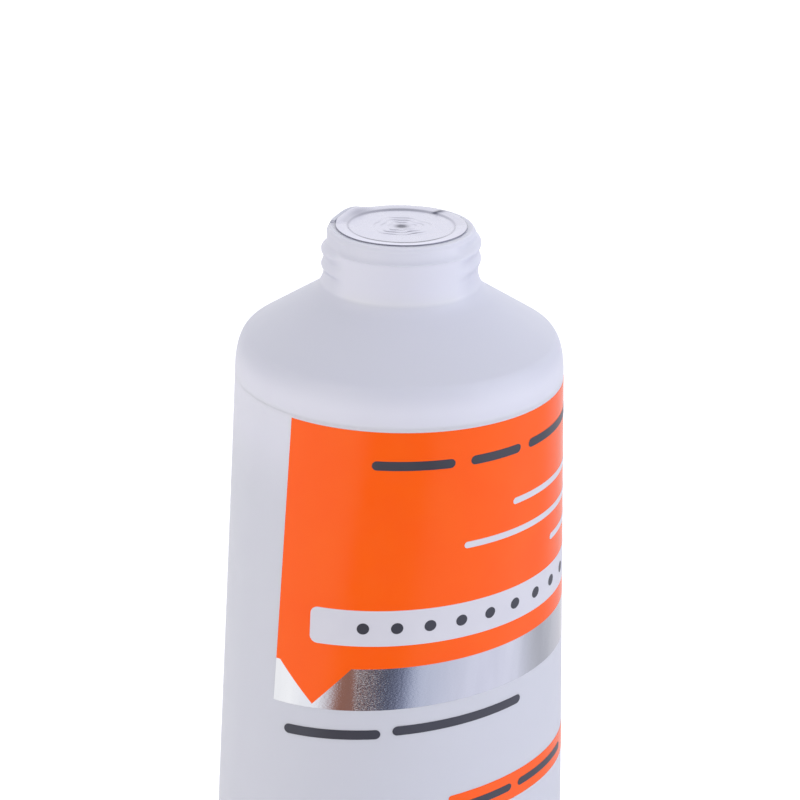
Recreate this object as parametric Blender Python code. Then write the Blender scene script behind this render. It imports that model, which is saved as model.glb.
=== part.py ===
"""Squeeze tube for sun cream, with its cap off: a soft plastic sleeve that is round at
the shoulder and crimped flat at the tail, a moulded head with a neck, the cream inside,
and a foil seal with a pull tab that is folded down over the rim of the mouth.

Metres, +Z up and out of the neck. The origin is the middle of the crimp's cut edge, the
label side faces -Y and the crimp lies along X."""

import math

import bmesh
import bpy
import numpy as np

# Clearance between pieces that touch on the real tube
SEAT_GAP = 0.0003

# Sleeve: an extruded tube, so it gets wider across as it gets thinner to the front
SLEEVE_DIAMETER = 0.038
SLEEVE_LENGTH = 0.132
SLEEVE_WALL = 0.0005
FRONT_LEAN = math.radians(3)
WEDGE_LEAN = math.radians(13)
LEAN_SHARPNESS = 8
EDGE_FLARE_SHARE = 0.174
LENS_SHARE = 0.6
CRIMP_HEIGHT = 0.007
CRIMP_SQUEEZE_SHARE = 0.9
CRIMP_BLEND = 0.014
CRIMP_SQUARENESS = 8
CAVITY_END_GAP = 0.0003

# Head: shoulder, neck and the skirt that the sleeve is welded to
CORNER_WIDTH = 0.0016
CORNER_HEIGHT = 0.0047
SHOULDER_SLOPE = math.radians(32.4)
SHOULDER_WALL = 0.0011
FOOT_FILLET = 0.0038
NECK_RADIUS = 0.0088
NECK_TOP = 0.0172
LEAD_IN_WIDTH = 0.0007
LEAD_IN_ANGLE = math.radians(38)
LAND_WIDTH = 0.0021
LAND_ROUND = 0.0003
SKIRT_LENGTH = 0.003
SKIRT_WALL = 0.0009

# Foil seal and its pull tab
FOIL_THICKNESS = 0.0002
FOIL_INSET = 0.0006
FOIL_BEAD_WIDTH = 0.0004
FOIL_BEAD_HEIGHT = 0.0001
LIP_HEIGHT = 0.0005
TAB_AZIMUTH = math.radians(116)
TAB_WIDTH = 0.0068
TAB_LENGTH = 0.0017
TAB_FOLD_RADIUS = 0.00025
TAB_DROOP = math.radians(55)
TAB_CORNER_SHARE = 0.3
LIP_FADE_SHARE = 0.35

# Cream: it stands just under the skirt and narrows to an edge above the crimp
CREAM_EDGE_THICKNESS = 0.0008

# Facets
SIDES = 64
SLEEVE_ROWS = 13
CRIMP_BLEND_ROWS = 6
CORNER_STEPS = 7
FOOT_STEPS = 5
ROUND_STEPS = 3
TAB_COLUMNS = 12
TAB_FOLD_STEPS = 4

sleeve_radius = SLEEVE_DIAMETER / 2
crimp_half = CRIMP_SQUEEZE_SHARE * SLEEVE_WALL
flat_depth = SLEEVE_LENGTH - CRIMP_HEIGHT
land_radius = NECK_RADIUS - LEAD_IN_WIDTH
bore_radius = land_radius - LAND_WIDTH
foil_radius = land_radius - FOIL_INSET
fold_radius = foil_radius + SEAT_GAP
tab_half_angle = math.asin(TAB_WIDTH / 2 / fold_radius)
hinge_rise = FOIL_THICKNESS / 2 + FOIL_BEAD_HEIGHT


def clear_scene():
    for old in list(bpy.data.objects):
        bpy.data.objects.remove(old)


def finish(name, hexadecimal, roughness, metallic, transmission):
    """A Principled material whose colour is given as an sRGB hex value."""
    channels = [int(hexadecimal[i : i + 2], 16) / 255 for i in (1, 3, 5)]
    linear = [((c + 0.055) / 1.055) ** 2.4 if c > 0.04045 else c / 12.92 for c in channels]
    material = bpy.data.materials.new(name)
    material.use_nodes = True
    shader = material.node_tree.nodes["Principled BSDF"]
    shader.inputs["Base Color"].default_value = (*linear, 1)
    shader.inputs["Roughness"].default_value = roughness
    shader.inputs["Metallic"].default_value = metallic
    shader.inputs["Transmission Weight"].default_value = transmission
    material.diffuse_color = (*linear, 1)
    return material


def half_thickness(depth):
    """Half the sleeve's thickness at a depth below its rim: a slow lean from the round
    rim and a steeper wedge that ends at the crimp, joined by a smooth minimum."""
    lean = sleeve_radius - math.tan(FRONT_LEAN) * depth
    wedge = crimp_half + math.tan(WEDGE_LEAN) * max(flat_depth - depth, 0)
    return (lean**-LEAN_SHARPNESS + wedge**-LEAN_SHARPNESS) ** (-1 / LEAN_SHARPNESS)


def half_width(depth):
    """Half the sleeve's width: almost straight edges from the round rim to the crimp,
    where the girth lies flat as two layers. They flare a little towards the tail."""
    share = min(depth / flat_depth, 1)
    flare = (1 - EDGE_FLARE_SHARE) * share + EDGE_FLARE_SHARE * share**3
    return sleeve_radius * (1 + (math.pi / 2 - 1) * flare)


def section(depth, inset):
    """One ring of the sleeve's section at a depth below the rim, drawn in by inset. It
    is an ellipse that turns into a lens near the tail, and on the outside it ends in a
    flat rim as thick as the crimp."""
    share = min(depth / flat_depth, 1)
    blend = min(max((depth - flat_depth) / CRIMP_BLEND + 1, 0), 1)
    turn = np.linspace(0, 2 * np.pi, SIDES, endpoint=False)
    lens = np.sign(np.sin(turn)) * np.abs(np.sin(turn)) ** (1 + LENS_SHARE * share**5)
    flat = np.clip((1 + (CRIMP_SQUARENESS - 1) * blend**3) * np.sin(turn), -1, 1)
    rim = max(crimp_half - inset, 0)
    across = (half_width(depth) - inset) * np.cos(turn)
    thickness = (half_thickness(depth) - inset - rim) * lens + rim * flat
    return np.column_stack([across, thickness, np.full(SIDES, -depth)])


def circle(radius, height):
    turn = np.linspace(0, 2 * np.pi, SIDES, endpoint=False)
    return np.column_stack([radius * np.cos(turn), radius * np.sin(turn), np.full(SIDES, height)])


def arc(middle, half_axes, start, end, steps):
    """(radius, height) points of an elliptical arc between two angles."""
    turn = np.linspace(start, end, steps + 1)
    return np.column_stack(
        [middle[0] + half_axes[0] * np.cos(turn), middle[1] + half_axes[1] * np.sin(turn)]
    )


def skin(name, rings, ends, material):
    """A closed solid through rings of equal count. Ends is 'caps' for a flat face on
    the first and last ring, or 'joined' where the last ring meets the first."""
    shape = bmesh.new()
    rows = [[shape.verts.new(point) for point in ring] for ring in rings]
    if ends == "caps":
        shape.faces.new(rows[0])
        shape.faces.new(rows[-1])
    else:
        rows.append(rows[0])
    for here, there in zip(rows, rows[1:]):
        for i, vertex in enumerate(here):
            j = (i + 1) % len(here)
            shape.faces.new((vertex, here[j], there[j], there[i]))
    bmesh.ops.recalc_face_normals(shape, faces=shape.faces)
    mesh = bpy.data.meshes.new(name)
    shape.to_mesh(mesh)
    shape.free()
    mesh.shade_smooth()
    mesh.set_sharp_from_angle(angle=math.radians(35))
    mesh.materials.append(material)
    piece = bpy.data.objects.new(name, mesh)
    bpy.context.scene.collection.objects.link(piece)
    return piece


def sleeve_depths(end):
    """Depths of the rings from the rim to an end near the crimp, closer where the
    section changes from an ellipse to a flat band."""
    upper = np.linspace(0, flat_depth - CRIMP_BLEND, SLEEVE_ROWS)
    lower = np.linspace(flat_depth - CRIMP_BLEND, end, CRIMP_BLEND_ROWS)
    return [*upper, *lower[1:]]


def depth_of(thickness):
    """Depth at which the wedge has narrowed to this half thickness."""
    return flat_depth - (thickness - crimp_half) / math.tan(WEDGE_LEAN)


def make_sleeve():
    """Outer skin from the crimp's cut edge up to the rim, then the inner skin down to
    where the two walls meet."""
    outer = [SLEEVE_LENGTH, *reversed(sleeve_depths(flat_depth))]
    inner = sleeve_depths(depth_of(SLEEVE_WALL + CAVITY_END_GAP / 2))
    rings = [section(depth, 0) for depth in outer]
    rings += [section(depth, SLEEVE_WALL) for depth in inner]
    sleeve = skin("tube_sleeve", rings, "caps", finish("soft_sleeve", "#D2D4E1", 0.45, 0, 0.3))
    sleeve.location.z = SLEEVE_LENGTH
    return sleeve


def head_outside():
    """(radius, height) points from the shoulder's edge at the rim up to the land."""
    top = math.atan2(CORNER_HEIGHT, CORNER_WIDTH * math.tan(SHOULDER_SLOPE))
    middle = (sleeve_radius - CORNER_WIDTH, SEAT_GAP)
    corner = arc(middle, (CORNER_WIDTH, CORNER_HEIGHT), 0, top, CORNER_STEPS)
    foot_middle = NECK_RADIUS + FOOT_FILLET
    foot_start = foot_middle - FOOT_FILLET * math.sin(SHOULDER_SLOPE)
    start_height = corner[-1, 1] + (corner[-1, 0] - foot_start) * math.tan(SHOULDER_SLOPE)
    foot_height = start_height + FOOT_FILLET * math.cos(SHOULDER_SLOPE)
    foot = arc(
        (foot_middle, foot_height),
        (FOOT_FILLET, FOOT_FILLET),
        3 * np.pi / 2 - SHOULDER_SLOPE,
        np.pi,
        FOOT_STEPS,
    )
    lead_in = LEAD_IN_WIDTH / math.tan(LEAD_IN_ANGLE)
    return [*corner, *foot, (NECK_RADIUS, NECK_TOP - lead_in), (land_radius, NECK_TOP)]


def head_inside(outside, skirt_radius):
    """(radius, height) points from the land down the bore and under the shoulder, which
    keeps one wall thickness."""
    mouth = (bore_radius + LAND_ROUND, NECK_TOP - LAND_ROUND)
    rounded = arc(mouth, (LAND_ROUND, LAND_ROUND), np.pi / 2, np.pi, ROUND_STEPS)
    edge_radius, edge_height = outside[CORNER_STEPS]
    drop = SHOULDER_WALL / math.cos(SHOULDER_SLOPE)
    under = [
        (radius, edge_height + (edge_radius - radius) * math.tan(SHOULDER_SLOPE) - drop)
        for radius in (bore_radius, skirt_radius)
    ]
    return [*rounded, *under]


def make_head():
    """Shoulder and neck turned about Z, on a skirt that follows the sleeve's section."""
    skirt_outset = SLEEVE_WALL + SEAT_GAP
    skirt_inset = skirt_outset + SKIRT_WALL
    outside = head_outside()
    inside = head_inside(outside, sleeve_radius - skirt_inset)
    rings = [circle(*point) for point in [*outside, *inside]]
    rings += [section(depth, skirt_inset) for depth in (0, SKIRT_LENGTH)]
    rings += [section(depth, skirt_outset) for depth in (SKIRT_LENGTH, 0)]
    rings.append(circle(sleeve_radius - skirt_outset, SEAT_GAP))
    head = skin("tube_head", rings, "joined", finish("moulded_head", "#CDCFE0", 0.4, 0, 0.3))
    head.location.z = SLEEVE_LENGTH
    return head


def make_cream(sleeve):
    """The filling, clear of the wall, from just under the skirt to a thin edge."""
    clear = SLEEVE_WALL + SEAT_GAP
    depths = sleeve_depths(depth_of(clear + CREAM_EDGE_THICKNESS / 2))
    depths[0] = SKIRT_LENGTH + SEAT_GAP
    rings = [section(depth, clear) for depth in depths]
    cream = skin("cream_fill", rings, "caps", finish("white_cream", "#F4F1EA", 0.5, 0, 0))
    cream.parent = sleeve
    return cream


def lip_rise(turn, radius):
    """How far the foil's rim is raised where the tab is folded over it. Turn is counted
    from the tab's middle. The rise starts at the bore and fades past the tab's sides."""
    fade = (tab_half_angle - abs(turn)) / (LIP_FADE_SHARE * tab_half_angle) + 1
    across = np.clip(fade, 0, 1)
    outward = np.clip((radius - bore_radius) / (foil_radius - bore_radius), 0, 1)
    return LIP_HEIGHT * across**2 * (3 - 2 * across) * np.sin(outward * np.pi / 2)


def foil_ring(radius, side):
    """One ring of the foil's top (side 1) or underside (side -1). The top carries a
    bead at the rim, and the tab's lip is at local +Y."""
    turn = np.linspace(0, 2 * np.pi, SIDES, endpoint=False)
    from_tab = (turn - np.pi / 2 + np.pi) % (2 * np.pi) - np.pi
    bead = FOIL_BEAD_HEIGHT * (side > 0) * (radius > foil_radius - FOIL_BEAD_WIDTH)
    height = side * FOIL_THICKNESS / 2 + bead + lip_rise(from_tab, radius)
    return np.column_stack(
        [radius * np.cos(turn), foil_radius + radius * np.sin(turn), height]
    )


def make_seal():
    """A disc of foil on the land. Its origin is on the rim across from the tab, where
    it hangs on when it is peeled, and local X is the axis it turns about."""
    bead_start = foil_radius - FOIL_BEAD_WIDTH
    bead_rows = np.linspace(bead_start, foil_radius, 3)
    rows = [bore_radius / 2, bore_radius, (bore_radius + bead_start) / 2, *bead_rows]
    rings = [foil_ring(radius, 1) for radius in rows]
    rings += [foil_ring(radius, -1) for radius in reversed(rows)]
    seal = skin("foil_seal", rings, "caps", finish("seal_foil", "#DFE0F0", 0.3, 1, 0))
    seal.rotation_euler.z = TAB_AZIMUTH - np.pi / 2
    seal.location = (
        -foil_radius * math.cos(TAB_AZIMUTH),
        -foil_radius * math.sin(TAB_AZIMUTH),
        SLEEVE_LENGTH + NECK_TOP + SEAT_GAP + FOIL_THICKNESS / 2,
    )
    return seal


def tab_path(length):
    """(outward, up) points of the tab's middle line: a fold, then a straight fall."""
    turn = np.linspace(0, TAB_DROOP, TAB_FOLD_STEPS)
    fold = np.column_stack([np.sin(turn), np.cos(turn) - 1]) * TAB_FOLD_RADIUS
    fall = np.array([math.cos(TAB_DROOP), -math.sin(TAB_DROOP)])
    return np.vstack([fold, fold[-1] + fall * length / 2, fold[-1] + fall * length])


def tab_section(turn, hinge_reach):
    """One section of the tab across its fold, at an angle from its middle. The lower
    corners are rounded by a shorter fall near the sides."""
    length = TAB_LENGTH * (1 - TAB_CORNER_SHARE * (turn / tab_half_angle) ** 6)
    path = tab_path(length)
    along = np.gradient(path, axis=0)
    along /= np.linalg.norm(along, axis=1)[:, None]
    normal = np.column_stack([-along[:, 1], along[:, 0]]) * FOIL_THICKNESS / 2
    outline = np.vstack([path + normal, (path - normal)[::-1]])
    radius = fold_radius + outline[:, 0]
    return np.column_stack(
        [
            radius * math.sin(turn),
            radius * math.cos(turn) - hinge_reach,
            outline[:, 1] - hinge_rise,
        ]
    )


def make_tab(seal):
    """The tab follows the rim and hangs outside the neck. Its origin is on the straight
    line above the two ends of its fold, level with the top of the foil's bead."""
    hinge_reach = fold_radius * math.cos(tab_half_angle)
    turns = np.linspace(-tab_half_angle, tab_half_angle, TAB_COLUMNS + 1)
    rings = [tab_section(turn, hinge_reach) for turn in turns]
    tab = skin("pull_tab", rings, "caps", finish("tab_foil", "#C9CBD8", 0.3, 1, 0))
    tab.location = (0, foil_radius + hinge_reach, LIP_HEIGHT + hinge_rise)
    tab.parent = seal
    return tab


clear_scene()
tube_sleeve = make_sleeve()
make_head()
make_cream(tube_sleeve)
foil_seal = make_seal()
make_tab(foil_seal)
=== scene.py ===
"""Looks of the squeeze tube: the sleeve, the moulded head with its thread, the foil seal
with its pull tab, and the print on the sleeve.

Metres, in the frame of the CAD model: +Z out of the neck, the print faces -Y, and the
crimp lies along X on the floor. On the sleeve a place is given by its arc, which is the
way round from the middle of the front, and by its depth below the rim."""

import math

import bpy
import numpy as np
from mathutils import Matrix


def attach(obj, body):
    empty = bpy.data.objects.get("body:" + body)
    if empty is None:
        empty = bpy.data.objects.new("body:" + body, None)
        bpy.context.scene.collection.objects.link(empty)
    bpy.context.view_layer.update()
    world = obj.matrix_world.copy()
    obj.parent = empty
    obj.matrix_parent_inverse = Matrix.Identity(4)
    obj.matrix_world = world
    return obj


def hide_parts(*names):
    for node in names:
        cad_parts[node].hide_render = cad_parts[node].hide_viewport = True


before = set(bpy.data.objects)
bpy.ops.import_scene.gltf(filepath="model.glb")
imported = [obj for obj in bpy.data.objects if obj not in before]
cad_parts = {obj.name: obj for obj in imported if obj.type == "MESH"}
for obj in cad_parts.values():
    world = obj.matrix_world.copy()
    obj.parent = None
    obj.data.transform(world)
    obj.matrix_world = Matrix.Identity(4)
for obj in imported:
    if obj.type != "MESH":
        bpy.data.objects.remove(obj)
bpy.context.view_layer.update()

# Sleeve, as in the CAD model
SLEEVE_RADIUS = 0.019
SLEEVE_LENGTH = 0.132
SLEEVE_WALL = 0.0005
FRONT_LEAN = math.radians(3)
WEDGE_LEAN = math.radians(13)
LEAN_SHARPNESS = 8
EDGE_FLARE_SHARE = 0.174
LENS_SHARE = 0.6
CRIMP_HALF = 0.00045
CRIMP_HEIGHT = 0.007
CRIMP_BLEND = 0.014
CRIMP_SQUARENESS = 8
FLAT_DEPTH = SLEEVE_LENGTH - CRIMP_HEIGHT
CAVITY_MARGIN = 0.0014
CAVITY_DEPTH = FLAT_DEPTH - CAVITY_MARGIN

# Relief of the sleeve: ribs that the sealing jaws press into the crimp, and soft buckles
RIB_PITCH = 0.0015
RIB_DEPTH = 0.00014
RIB_MARGIN = 0.0009
BUCKLE_DEPTH = 0.00022
BUCKLE_PITCH = 0.017
BUCKLE_REACH = 0.045
BUCKLE_PHASE = 0.8
BUCKLE_DRIFT = 2.5

# Head, as in the CAD model, heights above the sleeve's rim
HEAD_START = 0.0003
CORNER_WIDTH = 0.0016
CORNER_HEIGHT = 0.0047
SHOULDER_SLOPE = math.radians(32.4)
SHOULDER_WALL = 0.0011
FOOT_FILLET = 0.0038
NECK_RADIUS = 0.0088
NECK_TOP = 0.0172
LAND_RISE = 0.00026
LAND_RADIUS = 0.00825
TOP_RADIUS = 0.00845
BORE_RADIUS = 0.006
LAND_ROUND = 0.0003
LAND_EDGE = 0.0002
LAND_EDGE_TURN = 0.2
SKIRT_LENGTH = 0.003
SKIRT_OUTSET = 0.0008
SKIRT_INSET = 0.0017
SEAM = 0.000005

# Zones where the plastic is painted paler, a painted glow, as heights on the head and a
# length on the sleeve
RIM_PALE = 0.8
RIM_LOW = 0.0018
RIM_HIGH = 0.0046
FOOT_PALE = 0.4
WALL_PALE = 0.9
SLEEVE_PALE = 0.012

# Light that soaks through the wall into the open mouth
SOAKED_WALL = 0.08
SOAKED_CREAM = 0.22
SOAKED_MOUTH = 0.3

# Thread on the neck: right-handed, height of its crest on the +X side
THREAD_PITCH = 0.00186
THREAD_HEIGHT = 0.0003
THREAD_START = 0.01407
THREAD_LOW = 0.0122
THREAD_FADE = 0.0009
THREAD_END = math.radians(62)
THREAD_RUN_OUT = 0.5
FRONT_TURN = math.radians(-121)
FILL_STEEPNESS = 1.5
FILL_WIDTH = 0.8
WALL_TOP = 0.0157
WALL_STEP = 0.0001
WALL_BLEND = 0.00015
WALL_START = 0.0095
WALL_EDGE = 0.0004
# Painted shade along a line above the filled wall, and the foot line above which the neck
# is painted paler, a painted glow
GROOVE_HEIGHT = 0.0159
GROOVE_WIDTH = 0.0003
GROOVE_SHADE = 0.8
FOOT_LINE = 0.011
FOOT_LINE_WIDTH = 0.0004

# Foil seal and tab: heights above the middle of the foil
FOIL_RADIUS = 0.0075
FOIL_MIDDLE = 0.1496
FOIL_SHEET = 0.00009
FOIL_SINK = 0.00015
RING_SHARE = 0.79
RING_BLEND = 0.05
BEAD_SHARE = 0.93
BEAD_WIDTH = 0.05
BEAD_HEIGHT = 0.00007
RIM_SHARE = 0.99
RIM_ROLL = 0.01
# Painted shade on the foil's rolled rim and on the middle of its dimple
RIM_SHADE = 0.75
MIDDLE_SHADE = 0.9
KINKS = 7
KINK_DEPTH = 0.008
RIPPLE_PITCH = 0.00085
RIPPLE_HEIGHT = 0.000045
PINCH_WIDTH = 0.09
PINCH_DEPTH = 0.00003
CREASE_PLACE = -1.65
CREASE_SLANT = 0.4
CREASE_WIDTH = 0.06
CREASE_SHARE = 0.89
CREASE_REACH = 0.11
CREASE_HEIGHT = 0.00009
LIP_HEIGHT = 0.00042
LIP_FOOT = 0.82
LIP_WIDTH = 0.17
TAB_AZIMUTH = math.radians(116)
FOLD_RADIUS = 0.00786
TAB_HALF_ANGLE = math.asin(0.0034 / FOLD_RADIUS)
LIP_REACH = 0.61
LIP_FADE = 0.47
LIP_PEAK = -0.14
LIP_SAG = 0.55
LIP_SAG_SPAN = 0.35
LIP_STEP = 0.06
TAB_LENGTH = 0.0013
TAB_BEND = 0.0003
TAB_TUCK = 1.35
TAB_DROOP = math.radians(66)
TAB_SHEET = 0.0001
TAB_ROLL = 0.0002
TAB_ROLL_SPAN = 0.5
TAB_LOWER = 0.00009
TAB_DIP = 0.0001
TAB_DIP_SPAN = 0.2
TAB_DIP_CUT = 0.5
TAB_CORNER_CUT = 0.3
TAB_WAVE = 0.06
TAB_FLUTTER = 0.00005
TAB_EDGE = 0.07

# Cream, as in the CAD model, with folds on its top
CREAM_TOP = 0.0033
CREAM_INSET = 0.0008
CREAM_EDGE = 0.0012
CREAM_END = FLAT_DEPTH - (CREAM_EDGE - CRIMP_HALF) / math.tan(WEDGE_LEAN)
CREAM_START = 0.03
CREAM_RIM = 0.1
CREAM_FOLD = 0.0009
CREAM_FOLDS = 2.5
CREAM_ROUND = 0.0006

# Print: arcs from the middle of the front and depths below the rim
LABEL_MIDDLE = 0.0018
PANEL_LEFT = -0.0230
PANEL_LEAN = 0.0225
PANEL_TOP = 0.00004
PANEL_BOTTOM = 0.0294
PANEL_BOTTOM_RISE = 0.01
POINT_ARC = -0.01817
POINT_HALF_WIDTH = 0.0043
POINT_DEPTH = 0.0342
BAND_BOTTOM = 0.0347
BAND_TUCK = 0.0004
WINDOW_LEFT = -0.0195
WINDOW_TOP = 0.02185
WINDOW_BOTTOM = 0.02635
WINDOW_CORNER = 0.0009
STRIPE_LEFT = -0.0018
STRIPE_TOP = 0.0481
STRIPE_BOTTOM = 0.0520
LEAST_HALF = 0.00002
LAYER = 0.00001
LAYER_SUNK = 0.00003
LEVELS = {"band": 2, "panel": 3, "stripe": 3, "window": 4, "rule": 5, "dot": 6}

# Marks: (left arc, right arc, depth of the middle, height)
DARK_RULES = [
    (-0.0131, -0.0038, 0.0040, 0.0011),
    (-0.0019, 0.0050, 0.0040, 0.0011),
    (0.0064, 0.0228, 0.0040, 0.0011),
    (-0.0222, -0.0109, 0.0379, 0.0012),
    (-0.0095, 0.0080, 0.0376, 0.0012),
]
PALE_RULES = [
    (0.0044, 0.0228, 0.0106, 0.0008),
    (-0.0021, 0.0228, 0.0145, 0.0008),
    (0.0126, 0.0228, 0.0181, 0.0008),
]
STRIPE_RULES = [
    (0.0002, 0.0078, 0.05005, 0.0011),
    (0.0090, 0.0200, 0.05005, 0.0011),
]
DOT_START = -0.0134
DOT_PITCH = 0.00385
DOT_COUNT = 9
DOT_SIZE = 0.0014

# Arcs where the silver band's grit starts, is full, gets less and ends
GRIT_ZONE = (-0.0146, -0.0138, -0.0119, -0.0088)
GRIT_ELSEWHERE = 0.2

# Facets, with foil rings as (first share, last share, count)
COLUMNS = 512
COLUMN_PULL = 0.45
CRIMP_ROWS = 12
BLEND_ROWS = 16
BODY_ROWS = 84
CAVITY_ROWS = 56
HEAD_COLUMNS = 288
CORNER_STEPS = 24
CONE_ROWS = 8
FOOT_STEPS = 20
NECK_ROWS = 64
LAND_STEPS = 8
MOUTH_STEPS = 6
UNDER_ROWS = 12
FOIL_COLUMNS = 288
FOIL_RINGS = (0.02, 0.75, 48)
FOIL_FINE_RINGS = (0.756, RIM_SHARE, 64)
FOIL_ROLL_ROWS = 7
FOIL_UNDER_STEP = 3
TAB_COLUMNS = 49
TAB_BEND_ROWS = 22
TAB_FALL_ROWS = 16
CREAM_COLUMNS = 192
CREAM_RINGS = 30
CREAM_ROWS = 90
PANEL_ROWS = 80
BAND_ROWS = 24
RULE_ROWS = 9
ROUND_STEPS = 9
SHARP_EDGE = math.radians(50)
ARC_STEP = 0.0004
NORMAL_STEP = 1e-5
TABLE_ROWS = 120
TABLE_COLUMNS = 401
TABLE_ARC = 0.034
TABLE_DEPTH = 0.06
TABLE_TURN = 2.2
TABLE_TURNS = 1601

# Stage: the floor's glow at the near and the far distance from the object, and the
# lamps as (name, place, power, colour, whether foils mirror it)
FLOOR_REACH = 6.0
FLOOR_CORNERS = [(-1, -1), (1, -1), (1, 1), (-1, 1)]
FLOOR_LIFT = 0.42
FAR_LIFT = 0.56
NEAR_FLOOR = 0.3
FAR_FLOOR = 0.9
SKY_LIGHT = 0.7
LAMP_AIM = (0, 0, 0.1)
LAMP_SIZE = 0.9
LAMPS = [
    ("box_right", (0.75, -0.75, 0.45), 5.7, "#F4F6FF", True),
    ("box_left", (-0.95, -0.1, 0.45), 3.3, "#FFF8ED", True),
    ("box_back", (0.55, 0.8, 0.4), 4, "#FAFAFF", False),
]

# What the foils mirror in place of the floor: (azimuth in degrees, colour)
MAT_STOPS = [
    (-180, "#FFFFFF"),
    (180, "#FFFFFF"),
    (-172, "#FFFFFF"),
    (-150, "#F2F3F8"),
    (-141.5, "#C8BEC2"),
    (-137, "#94695C"),
    (-130, "#8C6357"),
    (-124.3, "#937068"),
    (-122.5, "#5C5559"),
    (-114, "#4E4F59"),
    (-102, "#4C4F65"),
    (-97.5, "#80879F"),
    (-92, "#AEB4CA"),
    (-86.8, "#C0C5D8"),
    (-78, "#CACEE0"),
    (-66, "#D6D8E8"),
    (-50, "#DFE0F0"),
    (-30, "#E2E3F2"),
    (-21, "#D3D5E2"),
    (-12, "#BBBCC5"),
    (0, "#B6B7C0"),
    (9, "#CACBD3"),
    (25, "#D4D3DB"),
    (45, "#EDECF1"),
    (70, "#FFFFFF"),
]

# Camera, at the photograph's viewing angle
CAMERA_PLACE = (-0.134833, -0.221406, 0.231626)
CAMERA_TURN = (68.26293, -0.83715, -31.03732)
CAMERA_LENS = 107.955
CAMERA_SENSOR = 36
CAMERA_NEAR = 0.01


def linear(hexadecimal):
    """Linear RGBA of an sRGB hex colour."""
    parts = [int(hexadecimal[i : i + 2], 16) / 255 for i in (1, 3, 5)]
    return (*(((c + 0.055) / 1.055) ** 2.4 if c > 0.04045 else c / 12.92 for c in parts), 1)


def smooth(x):
    """0 below 0, 1 above 1, and a cubic ease between."""
    x = np.clip(x, 0, 1)
    return x * x * (3 - 2 * x)


def bump_at(value, middle, width):
    """A bell curve: 1 at the middle, and about a third one width away."""
    return np.exp(-(((value - middle) / width) ** 2))


# ---------------------------------------------------------------- materials


def add(tree, kind, values=(), links=(), **settings):
    """A node with its settings, its sockets' values, and the outputs linked to them."""
    node = tree.nodes.new(kind)
    for name, value in settings.items():
        setattr(node, name, value)
    for socket, value in dict(values).items():
        node.inputs[socket].default_value = value
    for socket, source in dict(links).items():
        tree.links.new(source, node.inputs[socket])
    return node


def new_material(name, **values):
    """An empty Principled material with these socket values. Gives it and its tree."""
    material = bpy.data.materials.new(name)
    material.use_nodes = True
    tree = material.node_tree
    shader = tree.nodes["Principled BSDF"]
    for socket, value in values.items():
        shader.inputs[socket.replace("_", " ")].default_value = value
    return material, tree, shader


def grain(tree, coordinates, size, stretch=(1, 1, 1), detail=2.0):
    """A noise whose grains measure size metres, times stretch along each axis."""
    scale = [1 / (size * part) for part in stretch]
    place = add(tree, "ShaderNodeMapping", {"Scale": scale}, {"Vector": coordinates})
    noise = add(
        tree,
        "ShaderNodeTexNoise",
        {"Scale": 1.0, "Detail": detail, "Roughness": 0.55},
        {"Vector": place.outputs["Vector"]},
    )
    return noise.outputs["Fac"]


def span(tree, value, low, high, start=0.3, end=0.7):
    """A value between start and end turned to one between low and high."""
    node = add(
        tree,
        "ShaderNodeMapRange",
        {"From Min": start, "From Max": end, "To Min": low, "To Max": high},
        {"Value": value},
    )
    return node.outputs["Result"]


def product(tree, first, second):
    """Two values multiplied."""
    node = add(
        tree, "ShaderNodeMath", links={0: first, 1: second}, operation="MULTIPLY"
    )
    return node.outputs[0]


def blend(tree, factor, first, second):
    """A colour between two hex colours."""
    node = add(
        tree,
        "ShaderNodeMix",
        {6: linear(first), 7: linear(second)},
        {0: factor},
        data_type="RGBA",
    )
    return node.outputs[2]


def relief(tree, shader, heights):
    """Bumps one on another, from (height output, metres) pairs."""
    normal = {}
    for height, distance in heights:
        bump = add(
            tree,
            "ShaderNodeBump",
            {"Strength": 1.0, "Distance": distance},
            {"Height": height, **normal},
        )
        normal = {"Normal": bump.outputs["Normal"]}
    tree.links.new(normal["Normal"], shader.inputs["Normal"])


def soaked_light(material, tree, shader, colour, strength):
    """The light that has come in through the tube's milky wall, on the points inside
    whose attribute 'soaked' is set."""
    material.cycles.emission_sampling = "NONE"
    soaked = add(tree, "ShaderNodeAttribute", attribute_name="soaked").outputs["Fac"]
    shader.inputs["Emission Color"].default_value = linear(colour)
    glow = span(tree, soaked, 0, strength, 0, 1)
    tree.links.new(glow, shader.inputs["Emission Strength"])


def polyethylene(name, first, second, streaks):
    """Natural polyethylene: milky, so light soaks a little way in and softens each edge,
    with a satin gloss. Its colour runs from the first colour to the second by an
    attribute of its points: painted paler near the rim and where the neck's wall is
    thick, a painted glow of light through the wall, and painted darker in the thread's
    groove, a painted shade. An extruded skin has fine streaks along it, a moulded one
    has the even grain of its mould."""
    material, tree, shader = new_material(
        name,
        IOR=1.51,
        Subsurface_Weight=0.35,
        Subsurface_Radius=(1.0, 0.9, 1.0),
        Subsurface_Scale=0.0009,
    )
    where = add(tree, "ShaderNodeTexCoord").outputs["Object"]
    # Painted light: a level per point, high where the colour is painted paler as a glow,
    # low where it is painted darker as shade
    thick = add(tree, "ShaderNodeAttribute", attribute_name="thickness").outputs["Fac"]
    tree.links.new(blend(tree, thick, first, second), shader.inputs["Base Color"])
    haze = grain(tree, where, 0.004, detail=3.0)
    tree.links.new(span(tree, haze, 0.4, 0.48), shader.inputs["Roughness"])
    skin = grain(tree, where, 0.0006, (1, 1, streaks), 3.0)
    swell = grain(tree, where, 0.009, (1, 1, 2))
    relief(tree, shader, [(swell, 0.00006), (skin, 0.000006)])
    soaked_light(material, tree, shader, second, SOAKED_WALL)
    return material


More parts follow.
